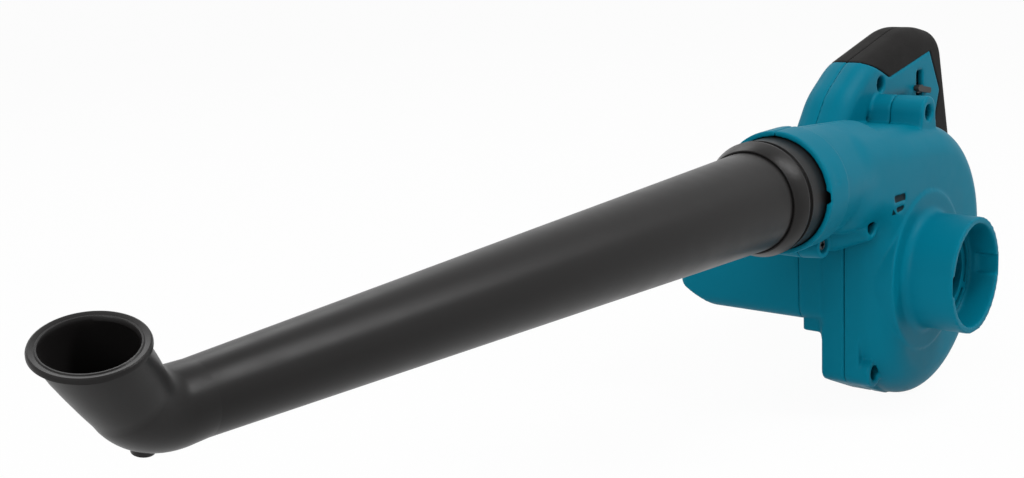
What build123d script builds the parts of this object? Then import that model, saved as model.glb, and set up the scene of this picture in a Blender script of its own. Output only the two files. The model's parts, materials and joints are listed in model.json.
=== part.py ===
from build123d import *
from math import acos, atan2, cos, degrees, radians, sin
import os

os.makedirs("parts", exist_ok=True)

# Walls and fits, in millimetres
wall = 2.5
handle_wall = 4.5
run_gap = 0.3
fit_gap = 0.05

# Air inlet: the fan axis is the Y axis and the mouth lies at y = 0
inlet_bore_r = 32.7
inlet_rim = 4.3
inlet_depth = 18.0
inlet_throat_r = 31.2
inlet_reach = 33.0
inlet_foot_r = 5.0
notch_width = 13.0
notch_depth = 2.0
notch_length = 14.0
plinth_r = 51.0
plinth_step = 1.2
guard_width = 5.0
guard_rim = 2.2
guard_ring_r = 21.0
guard_ring = 4.0
guard_spoke = 4.0

# Fan case: a spiral about the fan axis, split at case_seam_y
case_seam_y = 64.0
case_back_y = 84.0
case_front = 53.0
case_bottom = 86.0
case_rear = 96.0
case_top = 100.0
front_arc_r = 62.0
top_arc_r = 76.0
top_arc_z = 14.0
throat_x = 106.0
throat_r = 28.0
tongue_r = 12.0
case_edge_r = 20.0
case_back_edge_r = 7.5
mark_depth = 1.0

# Outlet: its axis runs along X at the case seam and at outlet_z
outlet_x = 137.0
outlet_z = 72.0
outlet_rim = 3.3
outlet_ring_length = 22.0
duct_r = 34.5
duct_wall = 4.5
duct_root_x = 45.0
duct_root_r = 29.5

# Nozzle: collar with bayonet pins, tapered tube, elbow and its mouth
sleeve_r = 32.5
sleeve_wall = 2.5
collar_flare_x = 150.0
collar_flange_r = 33.1
collar_front_x = 157.8
collar_bevel = 9.0
collar_lip = 1.2
tube_root_r = 28.3
tube_tip_r = 14.9
tube_tip_x = 568.5
tube_wall = 2.0
tube_socket = 10.0
spigot_wall = 1.6
elbow_r = 15.6
elbow_bend_r = 25.0
elbow_angle = 56.0
elbow_neck = 30.6
neck_top_r = 18.8
mouth_angle = 80.0
mouth_bore_r = 16.8
mouth_flange_r = 20.8
mouth_flange = 2.4
elbow_foot_x = 12.0
elbow_foot_r = 5.0
elbow_foot = 4.0
nozzle_roll = 15.4
pin_r = 3.0
pin_reach = 2.2
pin_inset = 9.0
pin_room = 0.5
twist = 35.0

# Handle: a closed loop in the plane y = handle_seam_y
handle_seam_y = 95.0
handle_width = 34.0
handle_edge_r = 11.0
bar_under_z = 99.0
grip_skin = 2.0
tongue_width = 24.0

# Drive housing on the right side, with the battery dock under its rear end
drive_front = 55.0
drive_rear = 146.0
drive_right_y = 187.0
drive_bottom = 30.0
drive_top = 36.0
tail_top = 8.0
tail_x = 64.0
tail_rake = 16.0
drive_corner_r = 12.0
drive_edge_r = 8.0
cant_width = 25.0
cant_height = 16.0
step_length = 33.0
step_drop = 7.0
vent_count = 5
vent_pitch = 12.0
vent_width = 4.0
vent_length = 26.0
vent_z = 6.0

# Battery dock: two rails along X and the terminals between them
dock_y = 138.0
rail_pitch = 54.0
rail_rear = 6.0
rail_length = 88.0
rail_web = 4.0
rail_drop = 9.0
rail_lip = 4.5
rail_lip_height = 3.0
terminal_length = 14.0
terminal_width = 40.0
terminal_height = 8.0
blade_pitch = 12.0
blade_thick = 0.8
blade_reach = 10.0
blade_hold = 6.0
blade_height = 4.5

# Fan and shaft
fan_r = 45.0
fan_eye_r = 31.0
fan_hub_r = 9.0
fan_hub_length = 18.5
fan_clear = 7.0
shroud_clear = 8.5
fan_plate = 2.5
blade_count = 9
blade_wall = 1.8
blade_arc_r = 24.0
blade_center_r = 27.0
blade_start = 54.0
blade_sweep = 65.0
shaft_r = 3.0
shaft_front = 7.0
washer_r = 7.0
washer_thick = 1.0
nut_flats = 10.0
nut_height = 5.0

# Motor
motor_r = 23.0
can_wall = 2.0
can_length = 56.0
bell_width = 6.0
rear_bell_width = 10.0
nose_r = 9.5
nose_reach = 3.0
bell_lip = 1.5
bearing_r = 6.5
bearing_width = 5.0
magnet_wall = 2.8
magnet_inset = 4.0
magnet_length = 42.0
magnet_arc = 140.0
air_gap = 0.7
core_inset = 6.0
core_length = 38.0
core_slots = 10
core_slot_width = 2.0
core_slot_depth = 8.0
commutator_r = 7.5
commutator_length = 9.0
brush_gap = 0.1
brush_width = 6.0
brush_length = 12.0
cushion_wall = 3.0
cradle_wall = 2.5
cradle_width = 14.0
cradle_rib = 4.0
motor_screw_x = 14.0
motor_screw_r = 1.5
motor_screw_head_r = 2.8
motor_screw_head = 2.2
motor_screw_length = 7.0

# Trigger, switch and speed lever
trigger_width = 15.4
trigger_pivot_x = 64.0
trigger_pivot_z = 107.0
trigger_boss_r = 4.5
trigger_reach = 34.5
trigger_drop = 8.5
trigger_slot_front = 3.0
trigger_slot_rear = 5.5
trigger_pin_r = 2.0
trigger_pin_length = 28.0
switch_front_x = 40.0
switch_length = 38.0
switch_bottom_z = 112.5
switch_height = 14.0
switch_edge_r = 1.5
spring_x = 46.0
spring_r = 2.8
spring_wire = 0.6
spring_pitch = 1.6
spring_seat_z = 105.0
lever_x = 86.0
lever_z = 103.5
lever_travel = 10.0
lever_slot_below = 6.0
lever_stem = 5.0
lever_stem_width = 9.0
lever_plate = 8.0
lever_plate_width = 13.0
lever_plate_thick = 2.0
lever_bar = 21.0
lever_bar_height = 4.0
lever_bar_thick = 3.5
lever_tilt = 11.0

# Screws
screw_r = 2.0
screw_head_r = 3.6
screw_head = 2.6
screw_tip_room = 0.5
counterbore_r = 5.2
case_screw_rest_y = 54.0
case_screw_length = 20.0
handle_screw_rest_y = 86.0
handle_screw_length = 20.0
handle_pillar_r = 7.0

# Screw pillars of the case: x, z, radius and y at the open end, radius at the seam, far y
case_pillars = [
    (-43.5, -59.3, 9.5, 47.0, 9.5, 80.0),
    (-62.0, 40.0, 8.5, 40.0, 18.0, case_back_y),
    (-104.0, 36.0, 8.0, 50.0, 9.0, case_back_y),
    (21.5, 98.0, 10.5, 42.0, 10.5, case_back_y),
]
# Webs that carry the first and the last of these pillars, as outlines in X and Z
toe_outline = [
    (-52.8, -32.0),
    (-52.8, -61.0),
    (-44.0, -69.5),
    (-12.0, -83.5),
    (-6.0, -74.0),
    (-40.0, -36.0),
]
lug_outline = [(11.5, 100.0), (9.0, 82.0), (34.0, 80.0), (31.5, 98.0)]
# Screw pillars of the handle, as x and z
handle_pillars = [(27.0, 114.0), (118.0, 6.0), (125.0, -22.5)]

# Outlines in X and Z: the handle with its finger opening, the rubber skin and two flush marks
handle_outline = [
    (wall - drive_front, wall - drive_bottom),
    (-45.0, 77.0),
    (-18.0, 112.5),
    (9.0, 129.5),
    (84.0, 147.5),
    (122.5, 138.5),
    (drive_rear - wall, 60.0),
    (drive_rear - 2 * wall, wall - drive_bottom),
]
handle_corners = [12.0, 60.0, 50.0, 50.0, 70.0, 24.0, 60.0, 12.0]
opening_outline = [
    (10.0, 2.0),
    (104.0, 2.0),
    (94.0, 50.0),
    (70.0, bar_under_z),
    (12.0, bar_under_z),
]
opening_corners = [14.0, 14.0, 20.0, 14.0, 14.0]
grip_outline = [
    (5.0, 160.0),
    (5.0, 133.0),
    (20.0, 126.0),
    (40.0, 117.0),
    (102.0, 128.0),
    (119.0, 99.0),
    (112.0, 82.0),
    (110.0, 60.0),
    (110.0, 20.0),
    (160.0, 20.0),
    (160.0, 160.0),
]
mark_outlines = [
    [(-47.0, 56.6), (-31.0, 55.8), (-30.5, 51.4), (-45.6, 51.7)],
    [(-45.0, 48.7), (-31.0, 48.6), (-34.4, 45.5), (-42.0, 45.1)],
]

# Places along the fan axis that follow from the sizes above
case_wall_y = case_back_y - wall
case_screw_end_y = case_screw_rest_y + case_screw_length
handle_screw_end_y = handle_screw_rest_y + handle_screw_length
fan_back_y = case_wall_y - fan_clear
fan_front_y = inlet_reach + wall + shroud_clear
hub_y = fan_back_y - fan_hub_length
washer_y = hub_y - washer_thick
nut_y = washer_y - nut_height
bell_y = case_back_y + bell_width
front_bearing_y = case_back_y - nose_reach + bell_lip
can_end_y = bell_y + can_length
rear_bell_y = can_end_y + rear_bell_width
rear_bearing_y = can_end_y + 2 * bell_lip
commutator_y = can_end_y - run_gap - commutator_length
core_y = bell_y + core_inset
rotor_r = motor_r - can_wall - magnet_wall - air_gap
cushion_r = motor_r + cushion_wall

# Places of the outlet, the nozzle and the handle that follow from the sizes above
ring_bore_r = sleeve_r + run_gap
ring_r = ring_bore_r + outlet_rim
ring_back_x = outlet_ring_length - outlet_x
duct_bore_r = duct_r - duct_wall
pin_x = pin_inset - outlet_x
collar_end_x = -collar_front_x - collar_bevel
socket_x = collar_end_x + tube_socket
spigot_r = tube_tip_r - tube_wall
spigot_x = tube_socket - tube_tip_x
handle_left_y = handle_seam_y - handle_width / 2
handle_right_y = handle_seam_y + handle_width / 2
inner_left_y = handle_left_y + handle_wall
inner_right_y = handle_right_y - handle_wall
slot_half = trigger_width / 2 + run_gap


def side(y):
    """Sketch plane at the given Y, its own x along X and its own y along Z."""
    return Plane.XZ.offset(-y)


def rod(x, z, radius, y0, y1, mode=Mode.ADD):
    """Round bar along Y in the part that is being built."""
    with BuildSketch(side(y0)) as section:
        with Locations((x, z)):
            Circle(radius)
    extrude(section.sketch, amount=y0 - y1, mode=mode)


def flared_rod(x, z, radius, y0, end_radius, y1):
    """Tapered round bar along Y in the part that is being built."""
    with BuildSketch(Plane.XY.offset(z)) as section:
        with BuildLine() as loop:
            Polyline((x, y0), (x + radius, y0), (x + end_radius, y1), (x, y1), close=True)
        make_face(loop.edges())
    revolve(section.sketch, axis=Axis((x, 0, z), (0, 1, 0)))


def block(x0, x1, y0, y1, z0, z1, mode=Mode.ADD):
    """Straight block between two corners in the part that is being built."""
    with Locations(((x0 + x1) / 2, (y0 + y1) / 2, (z0 + z1) / 2)):
        Box(x1 - x0, y1 - y0, z1 - z0, mode=mode)


def prism(outline, y0, y1, mode=Mode.ADD):
    """Straight-sided body along Y over an outline in X and Z."""
    with BuildSketch(side(y0)) as section:
        with BuildLine() as loop:
            Polyline(*outline, close=True)
        make_face(loop.edges())
    extrude(section.sketch, amount=y0 - y1, mode=mode)


def turned(profile, mode=Mode.ADD):
    """Body turned about the outlet axis from points given as x and radius."""
    with BuildSketch(side(case_seam_y)) as section:
        with BuildLine() as loop:
            Polyline(*[(x, outlet_z + radius) for x, radius in profile], close=True)
        make_face(loop.edges())
    revolve(section.sketch, axis=Axis((0, case_seam_y, outlet_z), (1, 0, 0)), mode=mode)


def spun(profile, mode=Mode.ADD):
    """Body turned about the fan axis from points given as y and radius."""
    with BuildSketch(Plane.XY) as section:
        with BuildLine() as loop:
            Polyline(*[(radius, y) for y, radius in profile], close=True)
        make_face(loop.edges())
    revolve(section.sketch, axis=Axis.Y, mode=mode)


def tube(r_in, r_out, y0, y1, mode=Mode.ADD):
    """Plain tube about the fan axis."""
    spun([(y0, r_in), (y0, r_out), (y1, r_out), (y1, r_in)], mode)


def screw(x, z, radius, head_r, rest_y, head, length):
    """Screw along Y whose head bears at rest_y."""
    rod(x, z, head_r, rest_y - head, rest_y)
    rod(x, z, radius, rest_y, rest_y + length)


def sector(center, r_in, r_out, start, size):
    """Ring segment as a face in the sketch that is being built."""
    with BuildLine() as loop:
        outer = CenterArc(center, r_out, start, size)
        inner = CenterArc(center, r_in, start, size)
        Line(outer @ 0, inner @ 0)
        Line(outer @ 1, inner @ 1)
    make_face(loop.edges())


def rounded(points, radii):
    """Polygon with rounded corners, as a flat sketch."""
    with BuildSketch() as shape:
        with BuildLine():
            Polyline(*points, close=True)
        make_face()
        for point, radius in zip(points, radii):
            fillet(shape.vertices().sort_by_distance(point)[0], radius)
    return shape.sketch


def volute(inset):
    """Spiral fan case with its throat as a solid, drawn in by inset all round."""
    front_c = (front_arc_r - case_front, front_arc_r - case_bottom)
    rear_r = case_rear - front_c[0]
    rear_c = (front_c[0], rear_r - case_bottom)
    top_c = (case_rear - top_arc_r, top_arc_z)
    nose_c = (throat_r - throat_x, case_top - throat_r)
    run = Vector(nose_c[0] - top_c[0], nose_c[1] - top_c[1])
    crest = degrees(atan2(run.Y, run.X) - acos((top_arc_r - throat_r) / run.length))
    front_x = inset - case_front
    floor_z = outlet_z - duct_r + inset
    nose_r = throat_r - inset
    lip_r = tongue_r + inset
    with BuildPart() as solid:
        with BuildSketch(side(inlet_reach + inset)):
            with BuildLine():
                CenterArc(front_c, front_arc_r - inset, 180, 90)
                rear = CenterArc(rear_c, rear_r - inset, 270, 90)
                top = CenterArc(top_c, top_arc_r - inset, 0, crest)
                Line(rear @ 1, top @ 0)
                nose = CenterArc(nose_c, nose_r, crest, 180 - crest)
                Line(top @ 1, nose @ 0)
                Line(nose @ 1, (nose_c[0] - nose_r, floor_z + nose_r))
                CenterArc((nose_c[0], floor_z + nose_r), nose_r, 180, 90)
                Line((nose_c[0], floor_z), (front_x - lip_r, floor_z))
                CenterArc((front_x - lip_r, floor_z - lip_r), lip_r, 90, -90)
                Line((front_x, floor_z - lip_r), (front_x, front_c[1]))
            make_face()
        extrude(amount=inlet_reach - case_back_y + 2 * inset)
        fillet(solid.edges().group_by(Axis.Y)[0], case_edge_r - inset)
        fillet(solid.edges().group_by(Axis.Y)[-1], case_back_edge_r - inset)
    return solid.part


def handle_loop(inset):
    """Closed handle loop as a solid, drawn in by inset all round."""
    with BuildPart() as solid:
        with BuildSketch(side(handle_left_y + inset)):
            add(rounded(handle_outline, handle_corners))
            add(rounded(opening_outline, opening_corners), mode=Mode.SUBTRACT)
            if inset:
                offset(amount=-inset)
        extrude(amount=2 * inset - handle_width)
        fillet(solid.edges().group_by(Axis.Y)[0], handle_edge_r - inset)
        fillet(solid.edges().group_by(Axis.Y)[-1], handle_edge_r - inset)
    return solid.part


def drive_box(inset, left_y):
    """Drive housing as a solid from left_y to the right, drawn in by inset."""
    right_y = drive_right_y - inset
    floor_z = inset - drive_bottom
    outline = [
        (inset - drive_front, floor_z),
        (drive_rear - inset, floor_z),
        (drive_rear - inset, tail_top - inset),
        (tail_x - inset, tail_top - inset),
        (tail_x - tail_rake - inset, drive_top - inset),
        (inset - drive_front, drive_top - inset),
    ]
    with BuildPart() as solid:
        with BuildSketch(side(left_y)):
            add(rounded(outline, [drive_corner_r - inset] * len(outline)))
        extrude(amount=left_y - right_y)
        fillet(solid.edges().group_by(Axis.Y)[-1], drive_edge_r - inset)
        with BuildSketch(Plane.YZ.offset(-drive_front)):
            with BuildLine():
                Polyline(
                    (right_y - cant_width, floor_z),
                    (right_y, floor_z + cant_height),
                    (right_y + cant_width, floor_z - cant_height),
                    close=True,
                )
            make_face()
        extrude(amount=drive_front + drive_rear, mode=Mode.SUBTRACT)
    return solid.part


# Solids that several shells are cut from
case_core = volute(wall)
case_body = volute(0)
handle_body = handle_loop(0)
handle_core = handle_loop(handle_wall)
handle_under_skin = handle_loop(grip_skin)
drive_body = drive_box(0, case_back_y - 2 * wall)
drive_core = drive_box(wall, case_back_y)

with BuildPart() as duct_bore:
    turned([
        (ring_back_x, 0),
        (ring_back_x, duct_bore_r),
        (-duct_root_x, duct_root_r - duct_wall),
        (-duct_root_x, 0),
    ])
    turned([
        (-outlet_x, 0),
        (-outlet_x, ring_bore_r),
        (ring_back_x, ring_bore_r),
        (ring_back_x, 0),
    ])
    for turn in (0, 180):
        with BuildSketch(Plane.YZ.offset(pin_x - pin_r - run_gap)):
            room = degrees((pin_r + run_gap) / sleeve_r)
            sector(
                (case_seam_y, outlet_z),
                sleeve_r - run_gap,
                sleeve_r + pin_reach + pin_room,
                turn - twist - room,
                twist + 2 * room,
            )
        extrude(amount=2 * (pin_r + run_gap))
    block(
        -outlet_x,
        pin_x,
        case_seam_y - sleeve_r - pin_reach - pin_room,
        case_seam_y + sleeve_r + pin_reach + pin_room,
        outlet_z - pin_r - run_gap,
        outlet_z + pin_r + run_gap,
    )

with BuildPart() as blower_shell:
    add(case_body)
    turned([
        (ring_back_x, 0),
        (ring_back_x, duct_r),
        (-duct_root_x, duct_root_r),
        (-duct_root_x, 0),
    ])
    turned([(-outlet_x, 0), (-outlet_x, ring_r), (ring_back_x, ring_r), (ring_back_x, 0)])
    rod(0, 0, plinth_r, inlet_reach - plinth_step, inlet_reach + case_edge_r / 2)
    rod(0, 0, inlet_bore_r + inlet_rim, 0, inlet_reach)
    foot_y = inlet_reach - plinth_step
    foot_r = inlet_bore_r + inlet_rim + inlet_foot_r
    with BuildSketch(Plane.XY):
        with BuildLine():
            foot = CenterArc((foot_r, foot_y - inlet_foot_r), inlet_foot_r, 90, 90)
            Polyline(foot @ 0, (foot_r, inlet_reach), (inlet_bore_r, inlet_reach),
                     (inlet_bore_r, foot_y - inlet_foot_r), foot @ 1)
        make_face()
    revolve(axis=Axis.Y)
    for x, z, radius, open_y, seam_r, end_y in case_pillars[1:]:
        flared_rod(x, z, radius, open_y, seam_r, case_seam_y)
        rod(x, z, seam_r, case_seam_y, end_y)
    prism(toe_outline, case_screw_rest_y, case_pillars[0][5])
    prism(lug_outline, case_pillars[3][3], case_pillars[3][5])
    add(case_core, mode=Mode.SUBTRACT)
    # The toe pillar stands in the case wall, so it is added to the hollow case
    rod(case_pillars[0][0], case_pillars[0][1], case_pillars[0][2],
        case_pillars[0][3], case_pillars[0][5])
    rod(0, 0, inlet_bore_r, 0, inlet_depth, mode=Mode.SUBTRACT)
    rod(0, 0, inlet_throat_r, 0, inlet_reach + 2 * wall, mode=Mode.SUBTRACT)
    for notch_x in (inlet_bore_r, -inlet_bore_r):
        block(notch_x - notch_depth, notch_x + notch_depth, 0, notch_length,
              -notch_width / 2, notch_width / 2, mode=Mode.SUBTRACT)
    add(duct_bore.part, mode=Mode.SUBTRACT)
    for outline in mark_outlines:
        prism(outline, inlet_reach, inlet_reach + mark_depth, mode=Mode.SUBTRACT)
    for x, z, radius, open_y, seam_r, end_y in case_pillars:
        rod(x, z, counterbore_r, open_y, case_screw_rest_y, mode=Mode.SUBTRACT)
        rod(x, z, screw_r + fit_gap, open_y, case_screw_end_y + screw_tip_room,
            mode=Mode.SUBTRACT)

with BuildPart() as fan_cover:
    add(blower_shell.part)
    split(bisect_by=side(case_seam_y), keep=Keep.TOP)
fan_cover.part.label = "fan_cover"
export_step(fan_cover.part, "parts/fan_cover.step")

# Rubber skin of the handle, in two halves that the housings make room for
with BuildPart() as grip:
    prism(grip_outline, handle_left_y, handle_right_y)
    add(handle_body, mode=Mode.INTERSECT)
    add(handle_under_skin, mode=Mode.SUBTRACT)
    block(grip_outline[6][0], drive_rear,
          handle_seam_y - tongue_width / 2, handle_seam_y + tongue_width / 2,
          grip_outline[5][1] + handle_edge_r, grip_outline[4][1], mode=Mode.SUBTRACT)

for half, keep in (("grip_left", Keep.TOP), ("grip_right", Keep.BOTTOM)):
    with BuildPart() as grip_half:
        add(grip.part)
        split(bisect_by=side(handle_seam_y), keep=keep)
    grip_half.part.label = half
    export_step(grip_half.part, "parts/" + half + ".step")

with BuildPart() as drive_shell:
    add(drive_body)
    add(handle_body)
    block(-drive_front + drive_corner_r / 2, -drive_front + step_length,
          case_back_y, handle_seam_y,
          -drive_bottom - step_drop, wall - drive_bottom)
    for rail_side in (-1, 1):
        rail_y = dock_y + rail_side * rail_pitch / 2
        lip_y = rail_y - rail_side * rail_lip / 2
        rail_x = drive_rear - rail_rear
        block(rail_x - rail_length, rail_x, rail_y - rail_web / 2, rail_y + rail_web / 2,
              -drive_bottom - rail_drop, wall - drive_bottom)
        block(rail_x - rail_length, rail_x,
              lip_y - (rail_lip + rail_web) / 2, lip_y + (rail_lip + rail_web) / 2,
              -drive_bottom - rail_drop, -drive_bottom - rail_drop + rail_lip_height)
    add(drive_core, mode=Mode.SUBTRACT)
    add(handle_core, mode=Mode.SUBTRACT)
    add(grip.part, mode=Mode.SUBTRACT)
    # Cradle ring for the motor's rubber cushion, carried by ribs
    cradle_y = can_end_y - (cradle_width - rear_bell_width) / 2
    cradle_end_y = cradle_y + cradle_width
    tube(cushion_r + fit_gap, cushion_r + fit_gap + cradle_wall, cradle_y, cradle_end_y)
    cradle_r = cushion_r + cradle_wall
    block(-cradle_rib / 2, cradle_rib / 2, cradle_y, cradle_end_y, cradle_r, drive_top - wall)
    block(wall - drive_front, -cradle_r, cradle_y, cradle_end_y, -cradle_rib / 2, cradle_rib / 2)
    # Pillars for the housing screws and bosses for the trigger pin
    for x, z in handle_pillars:
        rod(x, z, handle_pillar_r, handle_left_y + run_gap, handle_right_y - run_gap)
    rod(trigger_pivot_x, trigger_pivot_z, trigger_boss_r,
        handle_left_y + wall, handle_seam_y - slot_half)
    rod(trigger_pivot_x, trigger_pivot_z, trigger_boss_r,
        handle_seam_y + slot_half, handle_right_y - wall)
    for x, z in handle_pillars:
        rod(x, z, counterbore_r, handle_left_y - wall, handle_screw_rest_y, mode=Mode.SUBTRACT)
        rod(x, z, screw_r + fit_gap, handle_left_y, handle_screw_end_y + screw_tip_room,
            mode=Mode.SUBTRACT)
    rod(trigger_pivot_x, trigger_pivot_z, trigger_pin_r + fit_gap,
        handle_seam_y - trigger_pin_length / 2 - screw_tip_room,
        handle_seam_y + trigger_pin_length / 2 + screw_tip_room, mode=Mode.SUBTRACT)
    # Slots for the trigger and for the speed lever
    block(trigger_pivot_x - trigger_reach - trigger_slot_front, trigger_pivot_x + trigger_slot_rear,
          handle_seam_y - slot_half, handle_seam_y + slot_half,
          bar_under_z - handle_wall, bar_under_z + handle_wall + run_gap, mode=Mode.SUBTRACT)
    lever_half = lever_stem / 2 + run_gap
    slot_side = lever_stem_width / 2 + run_gap
    block(lever_x - slot_side, lever_x + slot_side, handle_left_y - wall, inner_left_y + wall,
          lever_z - lever_slot_below, lever_z + lever_travel + lever_half, mode=Mode.SUBTRACT)
    # Cooling slots in the right wall
    for k in range(vent_count):
        x = (k - (vent_count - 1) / 2) * vent_pitch
        block(x - vent_width / 2, x + vent_width / 2,
              drive_right_y - 2 * wall, drive_right_y + wall,
              vent_z - vent_length / 2, vent_z + vent_length / 2, mode=Mode.SUBTRACT)

with BuildPart() as handle_left_half:
    add(drive_shell.part)
    split(bisect_by=side(handle_seam_y), keep=Keep.TOP)
    add(case_core, mode=Mode.SUBTRACT)
    add(duct_bore.part, mode=Mode.SUBTRACT)

with BuildPart() as housing_left:
    add(blower_shell.part)
    split(bisect_by=side(case_seam_y), keep=Keep.BOTTOM)
    add(handle_left_half.part)
    rod(0, 0, nose_r + fit_gap, case_wall_y - wall, case_back_y + wall, mode=Mode.SUBTRACT)
    for x in (-motor_screw_x, motor_screw_x):
        rod(x, 0, motor_screw_r + fit_gap, case_wall_y - wall, case_back_y + wall,
            mode=Mode.SUBTRACT)
housing_left.part.label = "housing_left"
export_step(housing_left.part, "parts/housing_left.step")

with BuildPart() as housing_right:
    add(drive_shell.part)
    split(bisect_by=side(handle_seam_y), keep=Keep.BOTTOM)
housing_right.part.label = "housing_right"
export_step(housing_right.part, "parts/housing_right.step")

# Finger guard in the inlet: an outer rim, three spokes and an inner ring
with BuildPart() as inlet_guard:
    rim_r = inlet_throat_r - fit_gap
    tube(rim_r - guard_rim, rim_r, inlet_depth, inlet_depth + guard_width)
    tube(guard_ring_r, guard_ring_r + guard_ring, inlet_depth, inlet_depth + guard_width)
    with BuildSketch(side(inlet_depth)):
        with PolarLocations(0, 3, start_angle=90):
            with Locations(((guard_ring_r + rim_r) / 2, 0)):
                Rectangle(rim_r - guard_ring_r - guard_rim, guard_spoke)
    extrude(amount=-guard_width)
inlet_guard.part.label = "inlet_guard"
export_step(inlet_guard.part, "parts/inlet_guard.step")

# Fan with backward-curved blades between its back plate and its shroud
with BuildPart() as impeller:
    tube(shaft_r + fit_gap, fan_hub_r, hub_y, fan_back_y)
    tube(shaft_r + fit_gap, fan_r, fan_back_y - fan_plate, fan_back_y)
    tube(fan_eye_r, fan_r, fan_front_y, fan_front_y + fan_plate)
    with BuildSketch(side(fan_front_y + fan_plate)):
        for k in range(blade_count):
            turn = k * 360 / blade_count
            sector(
                (blade_center_r * cos(radians(turn)), blade_center_r * sin(radians(turn))),
                blade_arc_r - blade_wall / 2,
                blade_arc_r + blade_wall / 2,
                turn + blade_start,
                blade_sweep,
            )
    extrude(amount=fan_front_y + 2 * fan_plate - fan_back_y)
impeller.part.label = "impeller"
export_step(impeller.part, "parts/impeller.step")

with BuildPart() as fan_washer:
    tube(shaft_r + fit_gap, washer_r, washer_y, hub_y)
fan_washer.part.label = "fan_washer"
export_step(fan_washer.part, "parts/fan_washer.step")

with BuildPart() as fan_nut:
    with BuildSketch(side(nut_y)):
        RegularPolygon(nut_flats / 2, 6, major_radius=False)
        Circle(shaft_r + fit_gap, mode=Mode.SUBTRACT)
    extrude(amount=-nut_height)
fan_nut.part.label = "fan_nut"
export_step(fan_nut.part, "parts/fan_nut.step")

with BuildPart() as motor_shaft:
    rod(0, 0, shaft_r, nut_y + nut_height - shaft_front, rear_bell_y - run_gap)
motor_shaft.part.label = "motor_shaft"
export_step(motor_shaft.part, "parts/motor_shaft.step")

with BuildPart() as rotor_core:
    with BuildSketch(side(core_y)):
        Circle(rotor_r)
        Circle(shaft_r + fit_gap, mode=Mode.SUBTRACT)
        with PolarLocations(rotor_r - core_slot_depth / 2, core_slots):
            Rectangle(core_slot_depth + wall, core_slot_width, mode=Mode.SUBTRACT)
    extrude(amount=-core_length)
rotor_core.part.label = "rotor_core"
export_step(rotor_core.part, "parts/rotor_core.step")

with BuildPart() as commutator:
    tube(shaft_r + fit_gap, commutator_r, commutator_y, commutator_y + commutator_length)
commutator.part.label = "commutator"
export_step(commutator.part, "parts/commutator.step")

# Motor: two bells with their bearings, the can, magnets, brushes and the rubber cushion
with BuildPart() as front_bell:
    nose_y = case_back_y - nose_reach
    seat_r = bearing_r + fit_gap
    tube(shaft_r + wall / 2, nose_r, nose_y, case_back_y)
    tube(shaft_r + wall / 2, motor_r, case_back_y, bell_y)
    tube(0, seat_r, front_bearing_y, bell_y, mode=Mode.SUBTRACT)
    for x in (-motor_screw_x, motor_screw_x):
        rod(x, 0, motor_screw_r + fit_gap, case_back_y,
            case_wall_y + motor_screw_length + screw_tip_room, mode=Mode.SUBTRACT)
front_bell.part.label = "front_bell"
export_step(front_bell.part, "parts/front_bell.step")

with BuildPart() as rear_bell:
    tube(shaft_r + wall / 2, motor_r, can_end_y, rear_bell_y)
    tube(0, bearing_r + fit_gap, rear_bearing_y, rear_bell_y, mode=Mode.SUBTRACT)
rear_bell.part.label = "rear_bell"
export_step(rear_bell.part, "parts/rear_bell.step")

for name, bearing_y in (("front_bearing", front_bearing_y), ("rear_bearing", rear_bearing_y)):
    with BuildPart() as bearing:
        tube(shaft_r + fit_gap, bearing_r, bearing_y, bearing_y + bearing_width)
    bearing.part.label = name
    export_step(bearing.part, "parts/" + name + ".step")

with BuildPart() as motor_can:
    tube(motor_r - can_wall, motor_r, bell_y, can_end_y)
motor_can.part.label = "motor_can"
export_step(motor_can.part, "parts/motor_can.step")

with BuildPart() as magnets:
    magnet_r = motor_r - can_wall - fit_gap
    with BuildSketch(side(bell_y + magnet_inset)):
        for turn in (0, 180):
            sector((0, 0), motor_r - can_wall - magnet_wall, magnet_r,
                   turn - magnet_arc / 2, magnet_arc)
    extrude(amount=-magnet_length)
magnets.part.label = "magnets"
export_step(magnets.part, "parts/magnets.step")

with BuildPart() as brushes:
    for turn in (-1, 1):
        inner_x = turn * (commutator_r + brush_gap)
        outer_x = turn * (commutator_r + brush_gap + brush_length)
        block(min(inner_x, outer_x), max(inner_x, outer_x),
              can_end_y - brush_width, can_end_y,
              -brush_width / 2, brush_width / 2)
brushes.part.label = "brushes"
export_step(brushes.part, "parts/brushes.step")

with BuildPart() as motor_cushion:
    tube(motor_r + fit_gap, cushion_r, can_end_y, rear_bell_y)
motor_cushion.part.label = "motor_cushion"
export_step(motor_cushion.part, "parts/motor_cushion.step")

with BuildPart() as motor_screws:
    for x in (-motor_screw_x, motor_screw_x):
        screw(x, 0, motor_screw_r, motor_screw_head_r, case_wall_y,
              motor_screw_head, motor_screw_length)
motor_screws.part.label = "motor_screws"
export_step(motor_screws.part, "parts/motor_screws.step")

# Switch, trigger with its pin and spring, and the speed lever
with BuildPart() as switch_unit:
    block(switch_front_x, switch_front_x + switch_length,
          inner_left_y + 2 * fit_gap, inner_right_y - 2 * fit_gap,
          switch_bottom_z, switch_bottom_z + switch_height)
    fillet(switch_unit.edges().filter_by(Axis.Y), switch_edge_r)
switch_unit.part.label = "switch_unit"
export_step(switch_unit.part, "parts/switch_unit.step")

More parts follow.
